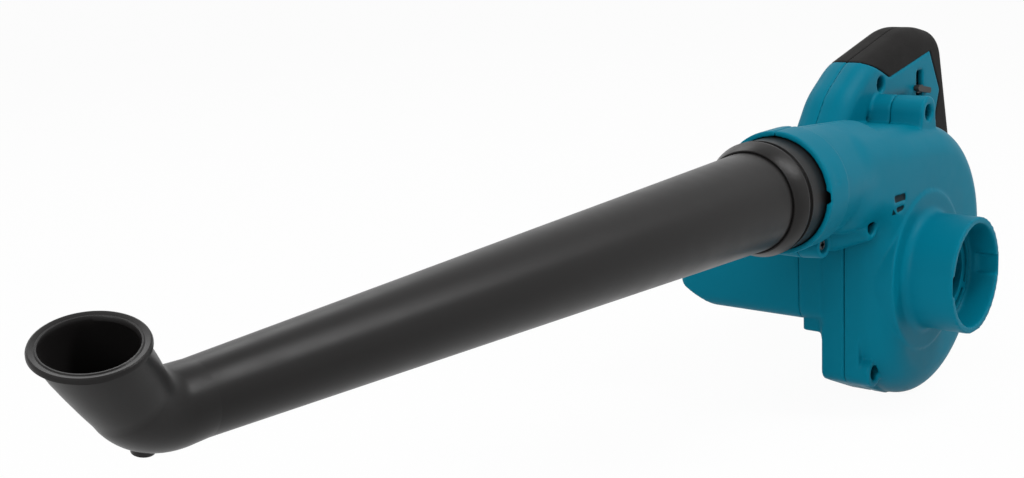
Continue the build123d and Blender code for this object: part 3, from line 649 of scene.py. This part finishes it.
@dataclass
class SoftenedSolid:
    """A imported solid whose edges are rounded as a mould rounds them."""

    node: str
    name: str
    body: Body
    finish: Finish
    voxel: float = 0.9 * MM
    passes: int = 5
    most_triangles: int = 170_000
    zones: tuple[SoftZone, ...] = ()
    zone_passes: int = 160
    smoothing: float = 0.5
    spared: tuple[tuple[float, float, float], ...] = ()

    def build(self) -> bpy.types.Object:
        """Remeshes, softens and dresses the solid.

        Returns:
            The new piece.
        """
        piece = new_piece(self.name, merged_copy(self.node))
        remesh = piece.modifiers.new("skin", "REMESH")
        remesh.mode = "VOXEL"
        remesh.voxel_size = self.voxel
        self.apply(piece)
        if self.zones:
            self.mark_zones(piece)
            melt = piece.modifiers.new("melt", "SMOOTH")
            melt.factor = self.smoothing
            melt.iterations = self.zone_passes
            melt.vertex_group = "melt"
        even = piece.modifiers.new("even", "SMOOTH")
        even.factor = self.smoothing
        even.iterations = self.passes
        triangles = 2 * len(piece.data.polygons)
        if triangles > self.most_triangles:
            thin = piece.modifiers.new("thin", "DECIMATE")
            thin.ratio = self.most_triangles / triangles
        self.apply(piece)
        piece.data.shade_smooth()
        settle(piece, self.body, self.finish, [self.node])
        return piece

    def mark_zones(self, piece: bpy.types.Object) -> None:
        """Writes the zones' weights into a vertex group, sparing the screw holes.

        Args:
            piece: the remeshed solid.
        """
        group = piece.vertex_groups.new(name="melt")
        for vert in piece.data.vertices:
            weight = max(zone.weight(vert.co) for zone in self.zones)
            for x, z, reach in self.spared:
                near = Vector((vert.co.x / MM - x, vert.co.z / MM - z)).length
                weight *= clamp(near / reach * 3.0 - 2.0)
            if weight > 0.0:
                group.add([vert.index], weight, "REPLACE")

    @staticmethod
    def apply(piece: bpy.types.Object) -> None:
        """Bakes the modifiers into the piece's mesh.

        Args:
            piece: the object that carries them.
        """
        graph = bpy.context.evaluated_depsgraph_get()
        baked = bpy.data.meshes.new_from_object(piece.evaluated_get(graph))
        old = piece.data
        piece.modifiers.clear()
        piece.data = baked
        bpy.data.meshes.remove(old)


@dataclass
class Casing:
    """Fan cover and the two housing halves."""

    finish: Finish = BODY_TEAL
    shells: tuple[tuple[str, str], ...] = (
        ("fan_cover", "fan_cover_shell"),
        ("housing_left", "left_housing_shell"),
        ("housing_right", "right_housing_shell"),
    )
    voxel: float = 0.95 * MM
    guard_voxel: float = 0.5 * MM
    guard_passes: int = 4
    duct_root: SoftZone = SoftZone((-66.0, 28.0, 70.0), (52.0, 34.0, 44.0))
    spared: tuple[tuple[float, float, float], ...] = (
        (-62.0, 40.0, 8.0),
        (-104.0, 36.0, 9.0),
        (-39.0, 51.0, 13.0),
    )

    def build(self) -> None:
        """Builds the three shells, the fan cover with a flowing duct, and the guard."""
        for node, name in self.shells:
            shell = SoftenedSolid(node, name, Body.HOUSING, self.finish, self.voxel)
            if node == "fan_cover":
                shell.zones = (self.duct_root,)
                shell.spared = self.spared
            shell.build()
        guard = SoftenedSolid("inlet_guard", "inlet_finger_guard", Body.HOUSING, self.finish)
        guard.voxel, guard.passes = self.guard_voxel, self.guard_passes
        guard.build()


@dataclass
class Handle:
    """Rubber skin of the handle, in two halves."""

    finish: Finish = GRIP_RUBBER
    halves: tuple[str, ...] = ("grip_left", "grip_right")
    voxel: float = 0.7 * MM
    passes: int = 6

    def build(self) -> None:
        """Builds both halves."""
        for node in self.halves:
            name = node + "_skin"
            SoftenedSolid(node, name, Body.HOUSING, self.finish, self.voxel, self.passes).build()


@dataclass
class Controls:
    """Trigger with its return spring, and speed lever."""

    finish: Finish = INNER_BLACK
    spring_finish: Finish = STEEL
    spring_keep: float = 0.62
    voxel: float = 0.35 * MM
    passes: int = 8

    def build_spring(self) -> None:
        """Builds the return spring, which the trigger squeezes against the switch."""
        piece = new_piece("trigger_return_spring", merged_copy("trigger_spring"))
        settle(piece, Body.HOUSING, self.spring_finish, ["trigger_spring"])
        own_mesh(piece)

    def build(self) -> None:
        """Builds the two pieces that a finger moves, and the spring."""
        self.build_spring()
        SoftenedSolid(
            "trigger", "trigger_key", Body.TRIGGER, self.finish, self.voxel, self.passes
        ).build()
        SoftenedSolid(
            "speed_lever", "speed_lever_key", Body.SPEED, self.finish, self.voxel / 2, self.passes
        ).build()


@dataclass
class Nozzle:
    """Collar with bayonet pins, tapered tube and elbow, in millimetres from the frame's boxes."""

    finish: Finish = NOZZLE_BLACK
    steps: int = 128
    fit_gap: float = 0.05
    sleeve_step: float = 0.6
    sleeve_wall: float = 2.5
    funnel: float = 8.0
    ridge: float = 0.5
    ridge_slope: float = 0.8
    groove: float = 0.7
    groove_width: float = 3.4
    flange_r: float = 33.1
    flange_width: float = 1.6
    bevel: float = 9.0
    lip: float = 1.2
    edge_turn: float = 25.0
    edge_round: float = 0.32
    tube_wall: float = 2.0
    spigot_wall: float = 1.6
    tube_crease: float = 30.0
    socket: float = 10.0
    root_r: float = 28.3
    tip_r: float = 14.9
    pin_r: float = 3.0
    pin_reach: float = 2.2
    pin_root: float = 1.0
    pin_steps: int = 32
    pin_inset: float = 9.0
    pin_turn: float = -35.0
    elbow_r: float = 15.6
    bend_r: float = 25.0
    bend_angle: float = 56.0
    bend_steps: int = 16
    neck: float = 30.6
    neck_steps: int = 10
    neck_top_r: float = 18.8
    mouth_angle: float = 80.0
    mouth_r: float = 16.8
    mouth_flange_r: float = 20.8
    mouth_flange: float = 2.4
    mouth_groove: float = 1.1
    groove_rings: tuple[tuple[float, float], ...] = ((0.0, 0.0), (-0.25, -0.3), (-0.35, -1.0))
    rim_rings: tuple[tuple[float, float], ...] = ((1.1, 0.0), (0.4, -0.3), (0.1, -0.9), (0.25, -1.8))
    bead_rings: tuple[tuple[float, float], ...] = ((0.5, 1.3), (0.2, 0.8), (0.25, 0.3))
    bore_rings: tuple[tuple[float, float], ...] = ((2.0, -0.3), (0.7, 0.0))
    groove_lip: float = 0.1
    under_round: tuple[float, float] = (0.4, 0.6)
    elbow_crease: float = 24.0
    roll: float = 15.4
    facet_turn: float = -14.0
    facet_share: float = 0.885
    foot_place: float = 12.0
    foot_r: float = 5.0
    foot_taper: float = 0.9
    foot_height: float = 3.0
    foot_low: float = 14.6
    foot_steps: int = 40
    axis: Vector = field(default_factory=lambda: Vector((-1.0, 0.0, 0.0)))

    def __post_init__(self) -> None:
        """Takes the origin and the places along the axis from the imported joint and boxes."""
        joint = next(j for j in frame["joints"] if j["child"] == Body.NOZZLE.value)
        anchor = Vector(joint["pos_m"])
        self.origin = Vector((0.0, anchor.y, anchor.z))
        collar_low, collar_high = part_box("nozzle_collar")
        tube_low, tube_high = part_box("nozzle_tube")
        self.collar_back = -collar_high.x
        self.collar_end = -collar_low.x
        self.tube_back = -tube_high.x
        self.tip = -tube_low.x
        self.shoulder = self.tip - self.socket * MM
        taper = (self.root_r - self.tip_r) / (self.tip - self.collar_end)
        self.shoulder_r = self.tip_r + taper * self.socket * MM
        self.spigot_r = self.tip_r - self.tube_wall
        self.up = Vector((0.0, -sin(radians(self.roll)), cos(radians(self.roll))))

    def build(self) -> None:
        """Builds the three pieces."""
        self.build_collar()
        self.build_tube()
        self.build_elbow()

    def turn_profile(self, shape: bmesh.types.BMesh, profile: list[tuple[float, float]]) -> None:
        """Spins an outline about the nozzle's axis.

        Args:
            shape: the mesh that takes it.
            profile: points as place along the axis in metres and radius in millimetres.
        """
        points = [(along, radius * MM) for along, radius in profile]
        turn(shape, points, self.origin, self.axis, self.steps)

    def build_collar(self) -> None:
        """Turns the collar and sets its two bayonet pins."""
        shape = bmesh.new()
        sleeve = self.flange_r - self.sleeve_step
        sleeve_bore = sleeve - self.sleeve_wall
        front = self.collar_end - self.bevel * MM
        step = front - (self.groove_width + self.flange_width) * MM
        slope = self.ridge_slope * MM
        bore = self.root_r + self.fit_gap
        tube_bore = self.root_r - self.tube_wall
        self.turn_profile(shape, [
            (self.collar_back, sleeve_bore),
            (self.collar_back, sleeve),
            (step - 2 * slope, sleeve),
            (step - slope, sleeve + self.ridge),
            (step, sleeve + self.ridge),
            (step, sleeve - self.groove),
            (step + self.groove_width * MM, sleeve - self.groove),
            (step + self.groove_width * MM, self.flange_r),
            (front, self.flange_r),
            (self.collar_end, bore + self.lip),
            (self.collar_end, bore),
            (self.tube_back, bore),
            (self.tube_back, tube_bore),
            (self.tube_back - self.tube_wall * MM, tube_bore),
            (self.tube_back - self.funnel * MM, sleeve_bore),
        ])
        round_edges(shape, radians(self.edge_turn), self.edge_round * MM)
        ring_front = -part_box("housing_left")[0].x
        pin_row = self.origin + self.axis * (ring_front - self.pin_inset * MM)
        for half_turn in (0.0, 180.0):
            angle = radians(self.pin_turn + half_turn)
            out = Vector((0.0, cos(angle), sin(angle)))
            middle = pin_row + out * (sleeve + (self.pin_reach - self.pin_root) / 2) * MM
            bmesh.ops.create_cone(
                shape, cap_ends=True, segments=self.pin_steps,
                radius1=self.pin_r * MM, radius2=self.pin_r * MM,
                depth=(self.pin_reach + self.pin_root) * MM, matrix=facing(middle, out),
            )
        settle(new_piece("collar_ring", shape), Body.NOZZLE, self.finish, ["nozzle_collar"])

    def build_tube(self) -> None:
        """Turns the long tapered tube with its thin spigot."""
        shape = bmesh.new()
        tube_bore = self.root_r - self.tube_wall
        spigot_bore = self.spigot_r - self.spigot_wall
        self.turn_profile(shape, [
            (self.tube_back, tube_bore),
            (self.tube_back, self.root_r),
            (self.collar_end, self.root_r),
            (self.shoulder, self.shoulder_r),
            (self.shoulder, self.spigot_r),
            (self.tip, self.spigot_r),
            (self.tip, spigot_bore),
            (self.shoulder, spigot_bore),
            (self.collar_end, tube_bore),
        ])
        piece = new_piece("long_tube", shape)
        piece.data.set_sharp_from_angle(angle=radians(self.tube_crease))
        settle(piece, Body.NOZZLE, self.finish, ["nozzle_tube"])

    def skin(
        self,
        shape: bmesh.types.BMesh,
        socket_r: float,
        bend_tube_r: float,
        rings: list[tuple[float, float]],
        facet: bool = False,
    ) -> None:
        """Grows one skin of the elbow from its socket through the bend to the mouth.

        Args:
            shape: the mesh.
            socket_r: the radius where the elbow meets the tube.
            bend_tube_r: the radius in the bend.
            rings: depth under the mouth's plane and radius, from the neck's top upwards.
            facet: whether the neck's front is flattened.
        """
        side = self.axis.cross(self.up)
        start = self.origin + self.axis * self.shoulder
        bmesh.ops.create_circle(
            shape, cap_ends=False, radius=socket_r * MM, segments=self.steps,
            matrix=facing(start, self.axis),
        )
        ring = [edge for edge in shape.edges if edge.is_wire]
        move = self.axis * self.socket * MM
        ring = grow_ring(shape, ring, start, move, bend_tube_r / socket_r)
        middle = start + move
        pivot = middle + self.up * self.bend_r * MM
        ahead = self.axis.copy()
        step = Quaternion(side, radians(self.bend_angle) / self.bend_steps)
        for _ in range(self.bend_steps):
            ring = grow_ring(shape, ring, middle, Vector(), 1.0)
            self.swing(shape, ring, pivot, step)
            middle = pivot + step @ (middle - pivot)
            ahead = step @ ahead
        tilt = radians(self.mouth_angle - self.bend_angle)
        mouth_way = Quaternion(side, tilt) @ ahead
        mouth = middle + ahead * self.neck * MM
        depth, radius = rings[0]
        move = (mouth - mouth_way * depth * MM - middle) / self.neck_steps
        step = Quaternion(side, tilt / self.neck_steps)
        wide = bend_tube_r
        for _ in range(self.neck_steps):
            next_wide = wide + (radius - bend_tube_r) / self.neck_steps
            ring = grow_ring(shape, ring, middle, move, next_wide / wide)
            middle, wide = middle + move, next_wide
            self.swing(shape, ring, middle, step)
        neck_top = middle
        for next_depth, next_radius in rings[1:]:
            move = mouth_way * (depth - next_depth) * MM
            ring = grow_ring(shape, ring, middle, move, next_radius / radius)
            middle = middle + move
            depth, radius = next_depth, next_radius
        if facet:
            self.flatten(shape, neck_top, ahead, mouth_way, bend_tube_r, rings[0][1])

    @staticmethod
    def swing(
        shape: bmesh.types.BMesh, ring: list[bmesh.types.BMEdge], pivot: Vector, step: Quaternion
    ) -> None:
        """Turns a ring about a point.

        Args:
            shape: the mesh.
            ring: the ring's edges.
            pivot: the point.
            step: the turn.
        """
        verts = list({vert for edge in ring for vert in edge.verts})
        bmesh.ops.rotate(shape, verts=verts, cent=pivot, matrix=step.to_matrix())

    def flatten(
        self,
        shape: bmesh.types.BMesh,
        top: Vector,
        ahead: Vector,
        mouth_way: Vector,
        low_r: float,
        high_r: float,
    ) -> None:
        """Flattens the front of the neck into a facet that fades out in the bend.

        Args:
            shape: the mesh, which holds the outer skin only.
            top: the middle of the neck's top.
            ahead: the way along the neck.
            mouth_way: the way out of the mouth.
            low_r: the neck's radius at the bend.
            high_r: the neck's radius at its top.
        """
        side = ahead.cross(mouth_way).normalized()
        front = Quaternion(ahead, radians(self.facet_turn)) @ ahead.cross(side)
        for vert in shape.verts:
            from_top = vert.co - top
            below = -from_top.dot(ahead) / (self.neck * MM)
            share = clamp(3.0 - 2.0 * below)
            radius = high_r + (low_r - high_r) * clamp(below)
            out = from_top.dot(front) - self.facet_share * radius * MM
            if from_top.dot(mouth_way) < SAME_POINT and out > 0.0:
                vert.co -= front * out * share

    def build_elbow(self) -> None:
        """Grows the elbow's two skins, joins them and sets the foot."""
        shape = bmesh.new()
        under, rim = self.mouth_flange, self.mouth_flange_r
        groove_top = under + self.mouth_groove
        under_depth, under_step = self.under_round
        outer = [(groove_top + down, self.neck_top_r + out) for down, out in self.groove_rings]
        outer.append((under + self.groove_lip, outer[-1][1]))
        outer += [(under, rim - under_step), (under - under_depth, rim)]
        outer += [(down, rim + out) for down, out in self.rim_rings]
        outer += [(down, self.mouth_r + out) for down, out in self.bead_rings]
        self.skin(shape, self.shoulder_r, self.elbow_r, outer, True)
        outer_open = [edge for edge in shape.edges if edge.is_boundary]
        bore_r = self.spigot_r + self.fit_gap
        bore = [(down, self.mouth_r + out) for down, out in self.bore_rings]
        self.skin(shape, bore_r, bore_r, bore)
        inner_open = [e for e in shape.edges if e.is_boundary and e not in outer_open]
        shoulder_x = self.origin.x - self.shoulder
        for at_socket in (True, False):
            loops = [
                edge for edge in outer_open + inner_open
                if all(abs(v.co.x - shoulder_x) < SAME_POINT for v in edge.verts) == at_socket
            ]
            bmesh.ops.bridge_loops(shape, edges=loops)
        bmesh.ops.recalc_face_normals(shape, faces=shape.faces[:])
        foot = self.origin + self.axis * (self.tip + self.foot_place * MM)
        foot = foot - self.up * (self.foot_low - self.foot_height / 2) * MM
        bmesh.ops.create_cone(
            shape, cap_ends=True, segments=self.foot_steps, radius1=self.foot_r * MM,
            radius2=self.foot_r * self.foot_taper * MM, depth=self.foot_height * MM,
            matrix=facing(foot, -self.up),
        )
        piece = new_piece("mouth_elbow", shape)
        piece.data.set_sharp_from_angle(angle=radians(self.elbow_crease))
        settle(piece, Body.NOZZLE, self.finish, ["nozzle_elbow"])


@dataclass
class Screws:
    """Cross-head screws of one node at their packed places, sized as shares of the head."""

    node: str
    name: str
    finish: Finish = DARK_STEEL
    steps: int = 32
    head: float = 0.72
    dome: tuple[tuple[float, float], ...] = ((0.08, 0.86), (0.25, 1.0))
    shank: float = 0.55
    point: float = 0.3
    crease: float = 30.0
    cross: float = 0.62
    cross_rim: float = 1.25
    cross_arm: float = 0.2
    cross_floor: float = 0.7
    cross_depth: float = 1.3 * MM

    def build(self) -> None:
        """Builds all the screws as one piece."""
        shape = bmesh.new()
        for low, high in self.places():
            self.add_screw(shape, low, high)
        bmesh.ops.recalc_face_normals(shape, faces=shape.faces[:])
        piece = new_piece(self.name, shape)
        piece.data.set_sharp_from_angle(angle=radians(self.crease))
        settle(piece, Body.HOUSING, self.finish, [self.node])

    def places(self) -> list[tuple[Vector, Vector]]:
        """Box of each separate solid in the node.

        Returns:
            Lowest and highest corners, one pair per screw.
        """
        shape = merged_copy(self.node)
        left = set(shape.verts)
        boxes = []
        while left:
            island, front = set(), [left.pop()]
            while front:
                vert = front.pop()
                island.add(vert)
                found = {edge.other_vert(vert) for edge in vert.link_edges} & left
                left -= found
                front.extend(found)
            points = [vert.co for vert in island]
            low = Vector([min(p[k] for p in points) for k in range(3)])
            high = Vector([max(p[k] for p in points) for k in range(3)])
            boxes.append((low, high))
        shape.free()
        return boxes

    def add_screw(self, shape: bmesh.types.BMesh, low: Vector, high: Vector) -> None:
        """Adds one screw: shank, domed head and a cross recess.

        Args:
            shape: the mesh that takes it.
            low: the lowest corner of its box.
            high: the highest corner of its box.
        """
        radius = (high.x - low.x) / 2
        length = high.y - low.y
        top = Vector(((low.x + high.x) / 2, low.y, (low.z + high.z) / 2))
        axis = Vector((0.0, 1.0, 0.0))
        half_cross = self.cross * radius
        head, shank = self.head * radius, self.shank * radius
        rings = [(down * radius, out * radius) for down, out in self.dome]
        rings += [(head, radius), (head, shank), (length - shank, shank), (length, self.point * shank)]
        along, size = 0.0, half_cross * self.cross_rim
        start = bmesh.ops.create_circle(
            shape, cap_ends=False, radius=size, segments=self.steps, matrix=facing(top, axis)
        )
        circle = list({edge for vert in start["verts"] for edge in vert.link_edges})
        ring = circle
        for next_along, next_size in rings:
            move = axis * (next_along - along)
            ring = grow_ring(shape, ring, top + axis * along, move, next_size / size)
            along, size = next_along, next_size
        bmesh.ops.contextual_create(shape, geom=ring)
        recess_rim = self.sink_cross(shape, top, axis, half_cross)
        bmesh.ops.triangle_fill(shape, edges=recess_rim + [e for e in circle if e.is_valid])

    def sink_cross(
        self, shape: bmesh.types.BMesh, top: Vector, axis: Vector, half_cross: float
    ) -> list[bmesh.types.BMEdge]:
        """Sinks the cross recess into the middle of a head.

        Args:
            shape: the mesh that takes it.
            top: the middle of the head's top.
            axis: the way into the screw.
            half_cross: half the cross's width.

        Returns:
            The open edges round the recess.
        """
        grid = bmesh.ops.create_grid(
            shape, x_segments=3, y_segments=3, size=half_cross, matrix=facing(top, axis)
        )
        faces = list({face for vert in grid["verts"] for face in vert.link_faces})
        offsets = {face: face.calc_center_median() - top for face in faces}
        reach = self.cross_arm * half_cross
        corners = [face for face, off in offsets.items() if min(abs(off.x), abs(off.z)) > reach]
        arms = [face for face in faces if face not in corners]
        bmesh.ops.delete(shape, geom=corners, context="FACES")
        edges = {edge for face in arms for edge in face.edges if edge.is_boundary}
        sunk = bmesh.ops.extrude_face_region(shape, geom=arms, use_keep_orig=False)["geom"]
        verts = [item for item in sunk if isinstance(item, bmesh.types.BMVert)]
        bmesh.ops.translate(shape, verts=verts, vec=axis * self.cross_depth)
        floor = (self.cross_floor, 1.0, self.cross_floor)
        bmesh.ops.scale(shape, verts=verts, vec=floor, space=Matrix.Translation(-top))
        return [edge for edge in edges if edge.is_valid and edge.is_boundary]


@dataclass
class InnerWorks:
    """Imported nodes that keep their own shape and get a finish."""

    finishes: dict[str, Finish] = field(default_factory=lambda: {
        "impeller": INNER_BLACK,
        "fan_washer": STEEL,
        "fan_nut": STEEL,
        "motor_shaft": STEEL,
        "rotor_core": DARK_STEEL,
        "commutator": COPPER,
        "front_bell": MOTOR_METAL,
        "rear_bell": MOTOR_METAL,
        "front_bearing": STEEL,
        "rear_bearing": STEEL,
        "motor_can": MOTOR_METAL,
        "magnets": MAGNET,
        "brushes": CARBON,
        "motor_cushion": SOFT_RUBBER,
        "motor_screws": STEEL,
        "switch_unit": INNER_BLACK,
        "trigger_pin": STEEL,
        "terminal_block": INNER_BLACK,
        "terminal_blades": BRASS,
    })

    def build(self) -> None:
        """Dresses each node."""
        for node, finish in self.finishes.items():
            dress(frame["nodes"][node], finish)
            log.info("%s: %s", node, finish.name)


@dataclass
class Lamp:
    """One soft box that looks at a point, in metres and watts."""

    name: str
    place: tuple[float, float, float]
    aim: tuple[float, float, float]
    size: tuple[float, float]
    power: float

    def build(self) -> None:
        """Sets the lamp."""
        light = bpy.data.lights.new(self.name, "AREA")
        light.shape = "RECTANGLE"
        light.size, light.size_y = self.size
        light.energy = self.power
        lamp = bpy.data.objects.new(self.name, light)
        bpy.context.scene.collection.objects.link(lamp)
        lamp.location = self.place
        way = Vector(self.aim) - Vector(self.place)
        lamp.rotation_euler = way.to_track_quat("-Z", "Y").to_euler()


@dataclass
class Studio:
    """Camera, pale floor, soft lamps and a white surround."""

    camera_place: tuple[float, float, float] = (-0.8827, -0.3637, 0.2436)
    camera_way: tuple[float, float, float] = (0.7467, 0.6278, -0.2199)
    camera_roll: float = -2.9
    focal_pixels: float = 1500.0
    sensor: float = 36.0
    clip_start: float = 0.01
    floor_reach: float = 14.0
    floor_steps: int = 64
    floor_gap: float = 0.5 * MM
    floor_tones: tuple[float, float] = (0.74, 0.77)
    floor_cloud: float = 0.2
    floor_white: float = 0.96
    surround: float = 0.36
    lamps: tuple[Lamp, ...] = (
        Lamp("key", (0.35, -0.75, 1.25), (-0.2, 0.05, 0.06), (0.32, 0.9), 14.0),
        Lamp("left", (-1.8, -0.3, 0.9), (-0.1, 0.05, 0.05), (0.9, 1.1), 22.0),
        Lamp("fill", (0.9, -1.8, 0.5), (0.0, 0.05, 0.0), (1.0, 1.4), 1.5),
        Lamp("back", (0.2, 1.5, 1.5), (-0.2, 0.05, 0.1), (1.8, 0.8), 12.0),
    )

    def build(self) -> None:
        """Sets the whole stage."""
        self.build_camera()
        self.build_floor()
        self.build_surround()
        for lamp in self.lamps:
            lamp.build()
        bpy.context.scene.view_settings.view_transform = "Standard"

    def build_camera(self) -> None:
        """Puts the camera where the photograph was taken from."""
        lens = bpy.data.cameras.new("camera")
        lens.sensor_width = self.sensor
        lens.lens = self.focal_pixels / IMAGE_WIDTH * self.sensor
        lens.clip_start = self.clip_start
        camera = bpy.data.objects.new("camera", lens)
        bpy.context.scene.collection.objects.link(camera)
        camera.location = self.camera_place
        camera.rotation_mode = "QUATERNION"
        level = Vector(self.camera_way).to_track_quat("-Z", "Y")
        camera.rotation_quaternion = level @ Quaternion((0, 0, 1), radians(self.camera_roll))
        bpy.context.scene.camera = camera

    def build_floor(self) -> None:
        """Lays the pale floor under the part's lowest point."""
        shape = bmesh.new()
        level = Matrix.Translation((0.0, 0.0, cad_box[0].z - self.floor_gap))
        bmesh.ops.create_circle(
            shape, cap_ends=True, segments=self.floor_steps, radius=self.floor_reach, matrix=level
        )
        floor = new_piece("floor", shape)
        material, sheet = new_material("pale_floor")
        cloud = sheet.noise(sheet.place(), self.floor_cloud)
        low, high = (shade(WHITE, tone) for tone in self.floor_tones)
        matte = sheet.add("ShaderNodeBsdfDiffuse", None, {"Color": sheet.mix(cloud, low, high)})
        white = sheet.add("ShaderNodeEmission", None, {"Color": WHITE, "Strength": 1.0})
        share = sheet.seen() * self.floor_white
        mixed = sheet.add("ShaderNodeMixShader", None, {0: share, 1: matte, 2: white})
        sheet.add("ShaderNodeOutputMaterial", None, {"Surface": mixed})
        floor.data.materials.append(material)

    def build_surround(self) -> None:
        """Makes the world white to look at and a soft even light to be in."""
        world = bpy.data.worlds.new("surround")
        world.use_nodes = True
        bpy.context.scene.world = world
        sheet = NodeSheet(world.node_tree)
        light, white = (
            sheet.add("ShaderNodeBackground", None, {"Color": WHITE, "Strength": strength})
            for strength in (self.surround, 1.0)
        )
        mixed = sheet.add("ShaderNodeMixShader", None, {0: sheet.seen(), 1: light, 2: white})
        sheet.add("ShaderNodeOutputWorld", None, {"Surface": mixed})


def main() -> None:
    """Builds the part piece by piece, then the stage."""
    logging.basicConfig(level=logging.INFO)
    Casing().build()
    Handle().build()
    Controls().build()
    Nozzle().build()
    Screws("cover_screws", "cover_screw_set").build()
    Screws("housing_screws", "housing_screw_set").build()
    InnerWorks().build()
    Studio().build()


if __name__ == "__main__":
    main()
